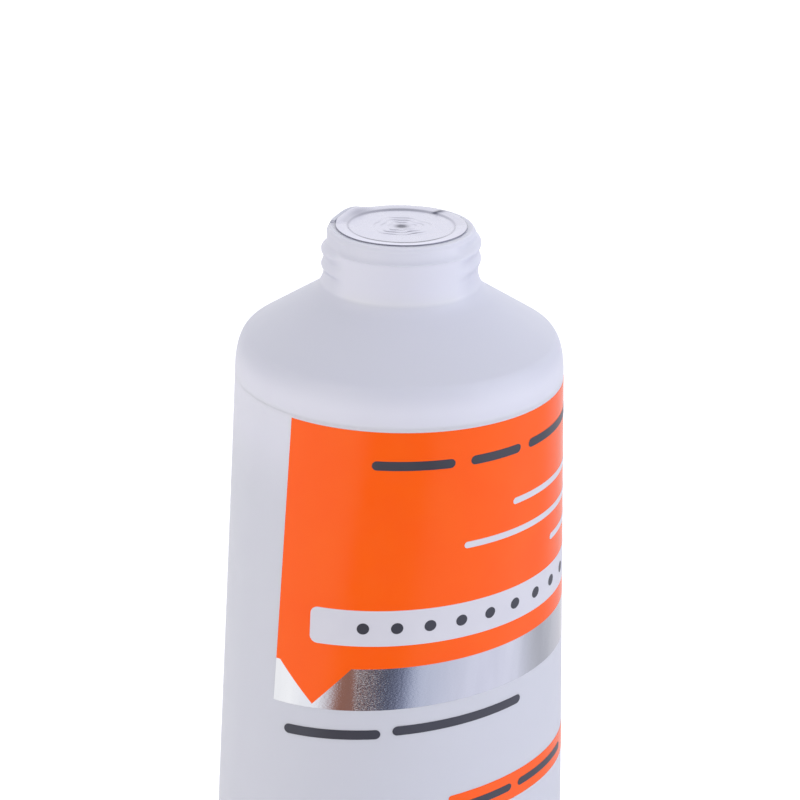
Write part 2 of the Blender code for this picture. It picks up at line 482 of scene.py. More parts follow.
def ink(name, first, second, roughness):
    """Screen-printed ink under varnish: one even colour with a clear gloss, whose film
    has a faint orange peel."""
    material, tree, shader = new_material(name, IOR=1.38)
    where = add(tree, "ShaderNodeTexCoord").outputs["Object"]
    tone = span(tree, grain(tree, where, 0.006), 0, 1)
    tree.links.new(blend(tree, tone, first, second), shader.inputs["Base Color"])
    haze = grain(tree, where, 0.002, detail=3.0)
    dullness = span(tree, haze, roughness, roughness + 0.06)
    tree.links.new(dullness, shader.inputs["Roughness"])
    peel = grain(tree, where, 0.0007, (1, 1, 2))
    relief(tree, shader, [(peel, 0.000004)])
    return material


def stamped_foil():
    """Hot-stamped aluminium: a mirror that the plastic under it makes a little uneven, so
    reflections break up into fine dashes round the tube, most where the stamp's roller
    lifted off."""
    material, tree, shader = new_material("hot_stamped_foil", Metallic=1.0)
    where = add(tree, "ShaderNodeUVMap", uv_map="arc_and_depth").outputs["UV"]
    arc = add(tree, "ShaderNodeSeparateXYZ", links={0: where}).outputs["X"]
    start, full, less, end = GRIT_ZONE
    rising = span(tree, arc, GRIT_ELSEWHERE, 1, start, full)
    falling = span(tree, arc, 1, GRIT_ELSEWHERE, less, end)
    zone = product(tree, rising, falling)
    lines = grain(tree, where, 0.0001, (4, 1, 1), 2.0)
    specks = grain(tree, where, 0.00028, (1.3, 0.4, 1), 3.0)
    grit = product(tree, specks, zone)
    tone = span(tree, grain(tree, where, 0.003, (1, 6, 1)), 0, 1)
    tree.links.new(blend(tree, tone, "#E6E7EC", "#F0F1F5"), shader.inputs["Base Color"])
    tree.links.new(span(tree, tone, 0.03, 0.08, 0, 1), shader.inputs["Roughness"])
    relief(tree, shader, [(lines, 0.00001), (grit, 0.00006)])
    return material


def sealing_foil(name, first, second):
    """Rolled aluminium foil: bright and cold, with fine rolling lines. Its colour is
    painted darker by an attribute of its points, a painted shade in its folds and grooves
    and along its rim, and painted a little lighter on the front of its ring. Its underside
    carries the sealing film, a milky plastic."""
    material, tree, shader = new_material(name)
    where = add(tree, "ShaderNodeTexCoord").outputs["Object"]
    # Painted shade: the second colour stands in for the shade in folds and grooves
    crease = add(tree, "ShaderNodeAttribute", attribute_name="crease").outputs["Fac"]
    tone = blend(tree, crease, first, second)
    tree.links.new(tone, shader.inputs["Base Color"])
    film = add(tree, "ShaderNodeAttribute", attribute_name="film").outputs["Fac"]
    tree.links.new(span(tree, film, 1, 0, 0, 1), shader.inputs["Metallic"])
    rolled = grain(tree, where, 0.00012, (18, 1, 1), 3.0)
    crumple = grain(tree, where, 0.0016, detail=3.0)
    tree.links.new(span(tree, crumple, 0.22, 0.36), shader.inputs["Roughness"])
    relief(tree, shader, [(crumple, 0.00003), (rolled, 0.0000015)])
    return material


def cream_material():
    """Sun cream: dense, white and wet, with soft folds from filling."""
    material, tree, shader = new_material(
        "white_cream",
        IOR=1.4,
        Subsurface_Weight=0.6,
        Subsurface_Radius=(1.0, 0.8, 0.6),
        Subsurface_Scale=0.002,
    )
    where = add(tree, "ShaderNodeTexCoord").outputs["Object"]
    folds = grain(tree, where, 0.005, (1, 1, 0.6), 3.0)
    tree.links.new(blend(tree, folds, "#F4F1EA", "#EDE9DF"), shader.inputs["Base Color"])
    tree.links.new(span(tree, folds, 0.25, 0.4), shader.inputs["Roughness"])
    relief(tree, shader, [(folds, 0.0006)])
    soaked_light(material, tree, shader, "#F4F1EA", SOAKED_CREAM)
    return material


# ---------------------------------------------------------------- meshes


def outward(points, faces):
    """The faces, turned over if the signed volume of their fans is negative."""
    corners = points[np.array([face[:3] for face in faces])]
    volume = np.einsum("ij,ij->i", corners[:, 0], np.cross(corners[:, 1], corners[:, 2]))
    return faces if volume.sum() > 0 else [face[::-1] for face in faces]


def new_piece(
    name, points, faces, material, body, node=None, slot=None, uv=None, **values
):
    """A smooth-shaded mesh that rides on a CAD body, with values as attributes of its
    points."""
    mesh = bpy.data.meshes.new(name)
    mesh.from_pydata(points.tolist(), [], outward(points, faces))
    mesh.materials.append(material)
    if uv is not None:
        corners = np.empty(len(mesh.loops), dtype=np.int64)
        mesh.loops.foreach_get("vertex_index", corners)
        layer = mesh.uv_layers.new(name="arc_and_depth")
        layer.data.foreach_set("uv", uv[corners].astype(np.float32).ravel())
    for attribute, amounts in values.items():
        layer = mesh.attributes.new(attribute, "FLOAT", "POINT")
        layer.data.foreach_set("value", amounts.astype(np.float32))
    mesh.shade_smooth()
    mesh.set_sharp_from_angle(angle=SHARP_EDGE)
    mesh.update()
    piece = bpy.data.objects.new(name, mesh)
    bpy.context.scene.collection.objects.link(piece)
    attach(piece, body)
    if node:
        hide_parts(node)


def quads(index):
    """Quads between neighbouring rows and columns of a grid of vertex numbers."""
    corners = [index[:-1, :-1], index[:-1, 1:], index[1:, 1:], index[1:, :-1]]
    return np.stack(corners, -1).reshape(-1, 4).tolist()


def closed_rings(grid, ends):
    """Points and faces of a skin through rings, grid[ring, place]. Ends is 'joined'
    where the last ring meets the first, or 'fans' where each end ring is closed by
    triangles to its middle."""
    rings, places = grid.shape[:2]
    points = grid.reshape(-1, 3)
    index = np.arange(rings * places).reshape(rings, places)
    index = np.column_stack([index, index[:, 0]])
    if ends == "joined":
        return points, quads(np.vstack([index, index[:1]]))
    faces = quads(index)
    first, last = len(points), len(points) + 1
    points = np.vstack([points, grid[0].mean(0), grid[-1].mean(0)])
    faces += [(b, a, first) for a, b in zip(index[0, :-1].tolist(), index[0, 1:].tolist())]
    faces += [(a, b, last) for a, b in zip(index[-1, :-1].tolist(), index[-1, 1:].tolist())]
    return points, faces


def closed_layer(top, bottom):
    """Points and faces of a thin layer between two grids of the same size, with walls
    round their border."""
    count = top.shape[0] * top.shape[1]
    index = np.arange(count).reshape(top.shape[:2])
    border = np.concatenate([index[0], index[1:, -1], index[-1, -2::-1], index[-2::-1, 0]])
    walls = np.stack([border[1:], border[:-1], border[:-1] + count, border[1:] + count], -1)
    faces = quads(index) + [face[::-1] for face in quads(index + count)] + walls.tolist()
    return np.vstack([top.reshape(-1, 3), bottom.reshape(-1, 3)]), faces


# ---------------------------------------------------------------- sleeve


def half_thickness(depth):
    """Half the sleeve's thickness: a slow lean from the round rim and a steeper wedge
    that ends at the crimp, joined by a smooth minimum."""
    lean = SLEEVE_RADIUS - math.tan(FRONT_LEAN) * depth
    wedge = CRIMP_HALF + math.tan(WEDGE_LEAN) * np.maximum(FLAT_DEPTH - depth, 0)
    return (lean**-LEAN_SHARPNESS + wedge**-LEAN_SHARPNESS) ** (-1 / LEAN_SHARPNESS)


def half_width(depth):
    """Half the sleeve's width: almost straight edges from the round rim to the crimp,
    where the girth lies flat as two layers."""
    share = np.clip(depth / FLAT_DEPTH, 0, 1)
    flare = (1 - EDGE_FLARE_SHARE) * share + EDGE_FLARE_SHARE * share**3
    return SLEEVE_RADIUS * (1 + (math.pi / 2 - 1) * flare)


def sleeve_skin(depth, turn, inset=0.0):
    """Points of the sleeve at depths below the rim and turns from +X, drawn in by inset.
    The section is an ellipse that becomes a lens near the tail, and on the outside it
    ends in a flat rim as thick as the crimp."""
    depth, turn = np.broadcast_arrays(np.asarray(depth, float), np.asarray(turn, float))
    below = np.maximum(depth, 0)
    share = np.clip(below / FLAT_DEPTH, 0, 1)
    blend_in = np.clip((below - FLAT_DEPTH) / CRIMP_BLEND + 1, 0, 1)
    lens = np.sign(np.sin(turn)) * np.abs(np.sin(turn)) ** (1 + LENS_SHARE * share**5)
    flat = np.clip((1 + (CRIMP_SQUARENESS - 1) * blend_in**3) * np.sin(turn), -1, 1)
    rim = max(CRIMP_HALF - inset, 0)
    across = (half_width(below) - inset) * np.cos(turn)
    thick = (half_thickness(below) - inset - rim) * lens + rim * flat
    return np.stack([across, thick, SLEEVE_LENGTH - depth], -1)


def arc_table():
    """Turns that belong to even arcs, one row for each of the table's depths: the length
    along the section is summed from the middle of the front and turned round."""
    front = -math.pi / 2
    turns = np.linspace(front - TABLE_TURN, front + TABLE_TURN, TABLE_TURNS)
    arcs = np.linspace(-TABLE_ARC, TABLE_ARC, TABLE_COLUMNS)
    rows = []
    for depth in np.linspace(0, TABLE_DEPTH, TABLE_ROWS):
        points = sleeve_skin(depth, turns)
        along = np.append(0, np.cumsum(np.linalg.norm(np.diff(points, axis=0), axis=1)))
        rows.append(np.interp(arcs, along - np.interp(front, turns, along), turns))
    return np.array(rows)


TURN_TABLE = arc_table()


def on_sleeve(arc, depth, lift):
    """Points at these arcs and depths, lifted off the sleeve along its normal. The turn
    comes from the table, linearly between its rows and columns, and the normal is the
    cross product of the steps along turn and depth."""
    row = np.clip(depth / TABLE_DEPTH * (TABLE_ROWS - 1), 0, TABLE_ROWS - 1.001)
    column = (arc / TABLE_ARC + 1) / 2 * (TABLE_COLUMNS - 1)
    i, j = row.astype(int), column.astype(int)
    a, b = row - i, column - j
    turn = (1 - a) * ((1 - b) * TURN_TABLE[i, j] + b * TURN_TABLE[i, j + 1])
    turn += a * ((1 - b) * TURN_TABLE[i + 1, j] + b * TURN_TABLE[i + 1, j + 1])
    step = NORMAL_STEP
    round_it = sleeve_skin(depth, turn + step) - sleeve_skin(depth, turn - step)
    down_it = sleeve_skin(depth + step, turn) - sleeve_skin(depth - step, turn)
    normal = np.cross(down_it, round_it)
    normal /= np.linalg.norm(normal, axis=-1, keepdims=True)
    return sleeve_skin(depth, turn) + lift * normal


def sleeve_relief(points, depth):
    """How far the sleeve's faces are pressed in: cosine ribs across the crimp, and two or
    three soft buckles that fade above it."""
    crimp = smooth((depth - FLAT_DEPTH) / RIB_MARGIN) * smooth(
        (SLEEVE_LENGTH - RIB_MARGIN - depth) / RIB_MARGIN
    )
    ribs = RIB_DEPTH * (0.5 - 0.5 * np.cos(2 * np.pi * points[..., 0] / RIB_PITCH)) * crimp
    rise = np.clip((FLAT_DEPTH - depth) / BUCKLE_REACH, 0, 1)
    swell = np.sin(np.pi * rise) ** 2 * (1 - rise)
    phase = 2 * np.pi * points[..., 0] / BUCKLE_PITCH + BUCKLE_PHASE + BUCKLE_DRIFT * rise
    return ribs + BUCKLE_DEPTH * swell * (0.5 + 0.5 * np.cos(phase))


def make_sleeve(material):
    """Outer skin from the cut edge up to the rim, then the inner skin down to where the
    walls meet. Columns stand closer at the front and back, for the crimp's ribs."""
    even = np.linspace(0, 2 * np.pi, COLUMNS, endpoint=False)
    turns = even + COLUMN_PULL / 2 * np.sin(2 * even)
    crimp = np.linspace(SLEEVE_LENGTH, FLAT_DEPTH, CRIMP_ROWS)
    above = np.linspace(FLAT_DEPTH, FLAT_DEPTH - CRIMP_BLEND, BLEND_ROWS)[1:]
    body = np.linspace(FLAT_DEPTH - CRIMP_BLEND, 0, BODY_ROWS)[1:]
    rim = [SEAM - HEAD_START]
    outer = np.concatenate([crimp, above, body, rim])
    inner = np.concatenate([rim, np.linspace(0, CAVITY_DEPTH, CAVITY_ROWS)])
    skins = []
    for depths, inset in ((outer, 0.0), (inner, SLEEVE_WALL)):
        points = sleeve_skin(depths[:, None], turns[None], inset)
        pressed = sleeve_relief(points, depths[:, None] + 0 * turns)
        if inset:
            pressed = pressed * (depths[:, None] < FLAT_DEPTH - CRIMP_BLEND / 2)
        flat_share = np.clip(np.abs(points[..., 1]) / (CRIMP_HALF / 2), 0, 1)
        points[..., 1] -= np.sign(points[..., 1]) * pressed * flat_share
        skins.append(points)
    points, faces = closed_rings(np.vstack(skins), "fans")
    new_piece(
        "extruded_sleeve",
        points,
        faces,
        material,
        "tube",
        "tube_sleeve",
        "soft_polyethylene",
        # Painted paler towards the rim, a painted glow
        thickness=smooth((points[:, 2] - SLEEVE_LENGTH) / SLEEVE_PALE + 1),
    )


# ---------------------------------------------------------------- head


def ellipse_arc(middle, half_axes, start, end, steps):
    """(radius, height) points of an elliptical arc between two angles."""
    turn = np.linspace(start, end, steps + 1)
    return np.column_stack(
        [middle[0] + half_axes[0] * np.cos(turn), middle[1] + half_axes[1] * np.sin(turn)]
    )


def head_profile():
    """(radius, height) points of the head from the sleeve's rim over shoulder, neck and
    land, down the bore and under the shoulder."""
    top = math.atan2(CORNER_HEIGHT, CORNER_WIDTH * math.tan(SHOULDER_SLOPE))
    corner = ellipse_arc(
        (SLEEVE_RADIUS - CORNER_WIDTH, HEAD_START),
        (CORNER_WIDTH, CORNER_HEIGHT),
        0,
        top,
        CORNER_STEPS,
    )
    foot_middle = NECK_RADIUS + FOOT_FILLET
    foot_start = foot_middle - FOOT_FILLET * math.sin(SHOULDER_SLOPE)
    rise = (corner[-1, 0] - foot_start) * math.tan(SHOULDER_SLOPE)
    foot_height = corner[-1, 1] + rise + FOOT_FILLET * math.cos(SHOULDER_SLOPE)
    foot = ellipse_arc(
        (foot_middle, foot_height),
        (FOOT_FILLET, FOOT_FILLET),
        3 * np.pi / 2 - SHOULDER_SLOPE,
        np.pi,
        FOOT_STEPS,
    )
    cone = np.linspace(corner[-1], foot[0], CONE_ROWS)[1:-1]
    land = NECK_TOP + LAND_RISE
    neck_heights = np.linspace(foot_height, NECK_TOP - LAND_EDGE, NECK_ROWS)[1:]
    neck = np.column_stack([np.full(len(neck_heights), NECK_RADIUS), neck_heights])
    rounded = ellipse_arc(
        (LAND_RADIUS - LAND_EDGE, NECK_TOP),
        (LAND_EDGE, LAND_RISE),
        LAND_EDGE_TURN,
        np.pi / 2,
        LAND_STEPS,
    )
    mouth = (BORE_RADIUS + LAND_ROUND, land - LAND_ROUND)
    inner = ellipse_arc(mouth, (LAND_ROUND, LAND_ROUND), np.pi / 2, np.pi, MOUTH_STEPS)
    drop = SHOULDER_WALL / math.cos(SHOULDER_SLOPE)
    under = [
        (radius, corner[-1, 1] + (corner[-1, 0] - radius) * math.tan(SHOULDER_SLOPE) - drop)
        for radius in np.linspace(BORE_RADIUS, SLEEVE_RADIUS - SKIRT_INSET, UNDER_ROWS)
    ]
    return np.vstack([corner, cone, foot, neck, rounded, inner, under])


def threaded(radius, height, turn):
    """The neck's radius with its thread, and how far the thread is filled in. The thread is
    a rounded ridge whose crest climbs one pitch a turn, fades out above the foot and runs
    out at its upper end, above which the neck is slimmer. At the front and the back, where
    the mould's halves meet, it is filled in to an upright wall as far as its crest."""
    crest = THREAD_START + THREAD_PITCH * turn / (2 * np.pi)
    last_part = turn < THREAD_END
    above = height - crest - THREAD_PITCH * last_part
    wave = 0.5 + 0.5 * np.cos(2 * np.pi * above / THREAD_PITCH)
    crest_radius = NECK_RADIUS + THREAD_HEIGHT
    ridge = radius + THREAD_HEIGHT * wave * smooth((height - THREAD_LOW) / THREAD_FADE)
    flank = TOP_RADIUS + (crest_radius - TOP_RADIUS) * wave * (above < THREAD_PITCH / 2)
    side = np.where(above > 0, flank, ridge)
    run_out = 1 - smooth((turn - THREAD_END) / THREAD_RUN_OUT + 1)
    fading = last_part & (above > -THREAD_PITCH / 2)
    side = np.where(fading, TOP_RADIUS + (side - TOP_RADIUS) * run_out, side)
    up = np.clip((height - WALL_TOP) / (NECK_TOP - WALL_TOP), 0, 1)
    wall = (radius + crest_radius + np.hypot(radius - crest_radius, WALL_BLEND)) / 2
    wall -= WALL_STEP * (height > WALL_TOP) + (crest_radius - WALL_STEP - TOP_RADIUS) * up
    filled = smooth(FILL_STEEPNESS * np.cos(2 * (turn - FRONT_TURN)) + FILL_WIDTH)
    on_neck = (height > WALL_START) & (height < NECK_TOP - LAND_EDGE / 2)
    return np.where(on_neck, side + (wall - side) * filled, radius), filled + 0 * radius


def make_head(material):
    """The profile turned about Z, on a skirt that follows the sleeve's section."""
    turns = np.linspace(0, 2 * np.pi, HEAD_COLUMNS, endpoint=False)
    profile = head_profile()
    height = profile[:, 1:] + 0 * turns
    radius, filled = threaded(profile[:, :1] + 0 * turns, height, turns[None])
    flatter = (1 - half_thickness(0) / SLEEVE_RADIUS) * smooth(1 - height / CORNER_HEIGHT)
    rings = np.stack(
        [
            radius * np.cos(turns),
            radius * np.sin(turns) * (1 - flatter),
            height + SLEEVE_LENGTH,
        ],
        -1,
    )
    skirt_in = sleeve_skin(np.array([[0.0], [SKIRT_LENGTH]]), turns[None], SKIRT_INSET)
    skirt_out = sleeve_skin(np.array([[SKIRT_LENGTH], [0.0]]), turns[None], SKIRT_OUTSET)
    step_radius = SLEEVE_RADIUS - SKIRT_OUTSET
    step = np.stack(
        [
            step_radius * np.cos(turns),
            step_radius * np.sin(turns),
            np.full(HEAD_COLUMNS, SLEEVE_LENGTH + HEAD_START),
        ],
        -1,
    )[None]
    points, faces = closed_rings(np.vstack([rings, skirt_in, skirt_out, step]), "joined")
    # Painted light in the colour: paler at the shoulder's corner by the rim and on the neck
    # above its foot line, most on the filled wall at the front and back, a painted glow;
    # darker along a line above that wall, a painted shade.
    rise = points[:, 2] - SLEEVE_LENGTH
    at_rim = RIM_PALE * smooth((RIM_HIGH - rise) / (RIM_HIGH - RIM_LOW))
    filled = np.append(filled.ravel(), np.zeros(len(points) - filled.size))
    below_edge = smooth((WALL_TOP - rise) / WALL_EDGE + 0.5)
    pale = FOOT_PALE + (WALL_PALE - FOOT_PALE) * filled * below_edge
    pale *= 1 - GROOVE_SHADE * filled * bump_at(rise, GROOVE_HEIGHT, GROOVE_WIDTH)
    thickness = at_rim + pale * smooth((rise - FOOT_LINE) / FOOT_LINE_WIDTH + 0.5)
    soaked = np.zeros((len(points) // HEAD_COLUMNS, HEAD_COLUMNS))
    soaked[len(profile) - UNDER_ROWS : len(profile) + len(skirt_in)] = 1
    soaked[len(profile) - UNDER_ROWS - 1] = SOAKED_MOUTH
    new_piece(
        "moulded_head",
        points,
        faces,
        material,
        "tube",
        "tube_head",
        "moulded_polyethylene",
        thickness=thickness,
        soaked=soaked.ravel(),
    )


# ---------------------------------------------------------------- foil


def from_tab(turn):
    """Turn counted from the tab's middle, between -pi and pi."""
    return (turn - TAB_AZIMUTH + np.pi) % (2 * np.pi) - np.pi


def lip_share(turn):
    """How much of the lip's height stands at a turn: a slow rise from beyond one side of
    the tab to its peak, a sag, and a quick step past the other side."""
    place = from_tab(turn)
    rise = smooth((place + LIP_REACH) / LIP_FADE)
    sag = 1 - LIP_SAG * smooth((place - LIP_PEAK) / LIP_SAG_SPAN)
    return rise * sag * smooth((TAB_HALF_ANGLE + LIP_STEP - place) / LIP_STEP)


def foil_creases(share, turn):
    """Short ripples round the middle, in patches that fade at both ends, a pinched dimple
    at the middle and a fold across the ring. Gives their height and the foil's painted
    shade: painted darker in the ripples' troughs, the dimple and the fold, most along the
    edges of the ring and at the foot of the lip, painted lighter on the front of the ring
    and a little darker on its back."""
    reach = share * FOIL_RADIUS
    facing = np.cos(turn - FRONT_TURN)
    patch = np.clip(0.2 + 0.75 * facing**2 + 0.3 * np.cos(turn * 5 + 1.0), 0, 1)
    ring = smooth((share - 0.1) / 0.12) * smooth((0.58 - share) / 0.2)
    wobble = 0.2 * np.sin(3 * turn + 0.4) + 0.15 * np.sin(7 * turn)
    ripple = np.sin(2 * np.pi * (reach / RIPPLE_PITCH + wobble)) * ring * patch
    pinch = bump_at(share, 0, PINCH_WIDTH)
    fold_place = CREASE_PLACE - CREASE_SLANT * (share - 0.75)
    fold = bump_at(from_tab(turn), fold_place, CREASE_WIDTH)
    fold = fold * bump_at(share, CREASE_SHARE, CREASE_REACH)
    height = RIPPLE_HEIGHT * ripple - PINCH_DEPTH * pinch + CREASE_HEIGHT * fold
    lip = lip_share(turn)
    front = np.clip(facing, 0, 1) ** 2
    line = bump_at(share, RING_SHARE + 0.02 + 0.07 * front, 0.017 + 0.02 * facing**2)
    ring_inside = smooth((share - RING_SHARE) / RING_BLEND)
    # Painted shade on the foil, from 0 to 1, with a painted lighter band on the ring's
    # front
    crease = (
        0.16
        + 0.9 * np.clip(-ripple, 0, 1) ** 2
        + 1.1 * pinch
        + 0.8 * fold
        + (0.25 + 0.3 * facing**2 + 0.6 * front) * line
        + 0.3 * bump_at(share, 0.87, 0.05) * lip
        - 0.16 * ring_inside * front
        + 0.06 * ring_inside * (facing < 0)
    )
    return height, np.clip(crease, 0, 1)


def foil_top(share, turn):
    """Height of the foil's face: the middle sunk a little into the bore, a ring on the
    land with a bead along its rim, and the lip where the tab is folded over."""
    climb = np.sin(np.pi / 2 * smooth((share - LIP_FOOT) / LIP_WIDTH))
    lip = LIP_HEIGHT * lip_share(turn) * climb
    ring = smooth((share - RING_SHARE) / RING_BLEND)
    bead = BEAD_HEIGHT * bump_at(share, BEAD_SHARE, BEAD_WIDTH)
    return -FOIL_SINK * (1 - ring) + bead + lip


def make_seal(material):
    """A disc in polar rings: its face, a rim rounded over, and an underside that keeps
    the foil's thickness. The rim's kinks are deepest on one side and fade to the other."""
    turns = np.linspace(0, 2 * np.pi, FOIL_COLUMNS, endpoint=False)
    shares = np.concatenate([np.linspace(*FOIL_RINGS), np.linspace(*FOIL_FINE_RINGS)])
    kinks = np.abs(np.sin(KINKS / 2 * turns + 0.4))
    kinks = 1 - KINK_DEPTH * kinks * (1 + np.cos(turns + 2.2)) / 2
    ripple, crease = foil_creases(shares[:, None], turns[None])
    top = foil_top(shares[:, None], turns[None]) + ripple
    rim_top = foil_top(np.array([[RIM_SHARE]]), turns[None])
    rolls = np.linspace(0, np.pi, FOIL_ROLL_ROWS + 2)[1:-1, None]
    rim_height = rim_top - FOIL_SHEET / 2 * (1 - np.cos(rolls))
    rim_share = RIM_SHARE + RIM_ROLL * np.sin(rolls)
    bottom_shares = shares[::-1][::FOIL_UNDER_STEP]
    bottom = top[::-1][::FOIL_UNDER_STEP] - FOIL_SHEET
    heights = np.vstack([top, rim_height, bottom])
    reach = np.concatenate([shares, rim_share[:, 0], bottom_shares])[:, None] * FOIL_RADIUS
    radius = reach * kinks[None]
    rings = np.stack(
        [radius * np.cos(turns), radius * np.sin(turns), heights + FOIL_MIDDLE], -1
    )
    points, faces = closed_rings(rings, "fans")
    rim_end = crease.size + FOIL_ROLL_ROWS * FOIL_COLUMNS
    # Painted shade: the face's from its folds and grooves, and the rolled rim and the
    # middle point painted dark
    painted_shade = np.zeros(len(points))
    painted_shade[: crease.size] = crease.ravel()
    painted_shade[crease.size : rim_end] = RIM_SHADE
    painted_shade[-2] = MIDDLE_SHADE
    film = np.zeros(len(points))
    film[rim_end:] = 1
    film[-2] = 0
    new_piece(
        "foil_disc",
        points,
        faces,
        material,
        "seal",
        "foil_seal",
        "seal_foil",
        crease=painted_shade,
        film=film,
    )


def make_tab(material):
    """A strip of foil that runs along the rim, rolled over in a tight bend, with a
    straight fall outside the neck. Its two faces are the path with half the foil's
    thickness to each side, and more inside the bend, which the roll nearly fills."""
    turn = np.linspace(-TAB_HALF_ANGLE, TAB_HALF_ANGLE, TAB_COLUMNS)[:, None]
    bend = np.linspace(-TAB_TUCK, TAB_DROOP, TAB_BEND_ROWS)
    side = np.abs(turn) / TAB_HALF_ANGLE
    dip = smooth((-turn - TAB_HALF_ANGLE) / TAB_DIP_SPAN + 1)
    wave = TAB_WAVE * np.sin(9 * turn + 1)
    length = TAB_LENGTH * (1 - TAB_CORNER_CUT * side**6 - TAB_DIP_CUT * dip + wave)
    share = np.linspace(0, 1, TAB_FALL_ROWS)[1:]
    out = np.column_stack(
        [
            TAB_BEND * np.sin(bend) + 0 * turn,
            TAB_BEND * math.sin(TAB_DROOP)
            + math.cos(TAB_DROOP) * length * share
            + TAB_FLUTTER * np.sin(16 * turn) * share**2,
        ]
    )
    up = np.column_stack(
        [
            TAB_BEND * (np.cos(bend) - 1) + 0 * turn,
            TAB_BEND * (math.cos(TAB_DROOP) - 1) - math.sin(TAB_DROOP) * length * share,
        ]
    )
    along = np.stack([np.gradient(out, axis=1), np.gradient(up, axis=1)])
    along /= np.linalg.norm(along, axis=0)
    roll = np.append(smooth((TAB_DROOP - bend) / TAB_ROLL_SPAN), 0 * share)
    angle = TAB_AZIMUTH + turn
    base = FOIL_MIDDLE + LIP_HEIGHT * lip_share(angle) - TAB_LOWER - TAB_DIP * dip
    grids = []
    for offset in (TAB_SHEET / 2, -TAB_SHEET / 2 - TAB_ROLL * roll):
        radius = FOLD_RADIUS + out - offset * along[1]
        height = base + up + offset * along[0]
        grids.append(np.stack([radius * np.cos(angle), radius * np.sin(angle), height], -1))
    points, faces = closed_layer(*grids)
    end = smooth((side - 1) / TAB_EDGE + 1) + 0 * out
    new_piece(
        "tab_strip",
        points,
        faces,
        material,
        "tab",
        "pull_tab",
        "tab_foil",
        # Painted shade: a little on all of the strip's face, more towards its ends
        crease=np.append(0.1 + 0.2 * end, 0.1 + 0 * end),
        film=np.append(end, 1 + 0 * end),
    )


# ---------------------------------------------------------------- cream


def make_cream(material):
    """The filling: its side follows the inside of the sleeve down to a thin edge, and its
    top has a slow spiral fold, sunk under the level of the CAD solid, and a rounded rim."""
    turns = np.linspace(0, 2 * np.pi, CREAM_COLUMNS, endpoint=False)[None]
    share = np.linspace(CREAM_START, 1, CREAM_RINGS)[:, None]
    rim = sleeve_skin(CREAM_TOP, turns, CREAM_INSET)
    fold = 0.5 + 0.5 * np.cos(2 * np.pi * CREAM_FOLDS * share - turns)
    rounding = CREAM_ROUND * smooth((share - 1) / CREAM_RIM + 1)
    sunk = CREAM_FOLD * fold * (1 - share**4) + rounding
    surface = np.stack(
        [rim[..., 0] * share, rim[..., 1] * share, SLEEVE_LENGTH - CREAM_TOP - sunk], -1
    )
    depth = np.linspace(CREAM_TOP + CREAM_ROUND, CREAM_END, CREAM_ROWS)[1:, None]
    points, faces = closed_rings(
        np.vstack([surface, sleeve_skin(depth, turns, CREAM_INSET)]), "fans"
    )
    soaked = np.zeros(len(points))
    soaked[: surface.size // 3] = 1
    soaked[-2] = 1
    new_piece(
        "cream", points, faces, material, "tube", "cream_fill", "cream", soaked=soaked
    )


# ---------------------------------------------------------------- print


def print_layer(name, arcs, tops, bottoms, rows, layer, material, lean=0):
    """A thin closed layer on the sleeve. Each of its columns runs from a top depth to a
    bottom depth, at one arc that moves back by lean times the depth."""
    share = np.linspace(0, 1, rows)[:, None]
    depth = tops[None] + share * (bottoms - tops)[None]
    arc = arcs[None] - lean * depth
    top = on_sleeve(arc, depth, layer * LAYER)
    bottom = on_sleeve(arc, depth, -LAYER_SUNK)
    points, faces = closed_layer(top, bottom)
    places = np.column_stack([arc.ravel(), depth.ravel()])
    new_piece(name, points, faces, material, "tube", uv=np.vstack([places, places]))


def even_arcs(*stops):
    """Arcs from stop to stop in steps of about ARC_STEP."""
    parts = [
        np.linspace(a, b, max(2, round((b - a) / ARC_STEP) + 1))[:-1]
        for a, b in zip(stops, stops[1:])
    ]
    return np.append(np.concatenate(parts), stops[-1])


def rounded_layer(name, left, right, top, bottom, corner, layer, material):
    """A layer with rounded corners: near each end the half height follows a quarter of a
    circle."""
    bend = np.linspace(0, np.pi / 2, ROUND_STEPS)
    near = corner * (1 - np.cos(bend))
    straight = even_arcs(left + corner, right - corner)
    arcs = np.concatenate([left + near[:-1], straight, right - near[-2::-1]])
    gap = np.minimum(np.minimum(arcs - left, right - arcs), corner)
    cut = corner - np.sqrt(np.maximum(corner**2 - (corner - gap) ** 2, 0))
    half = np.maximum((bottom - top) / 2 - cut, LEAST_HALF)
    middle = (top + bottom) / 2
    print_layer(name, arcs, middle - half, middle + half, RULE_ROWS, layer, material)


def mirrored(arc):
    """The arc across the label's own middle."""
    return 2 * LABEL_MIDDLE - arc


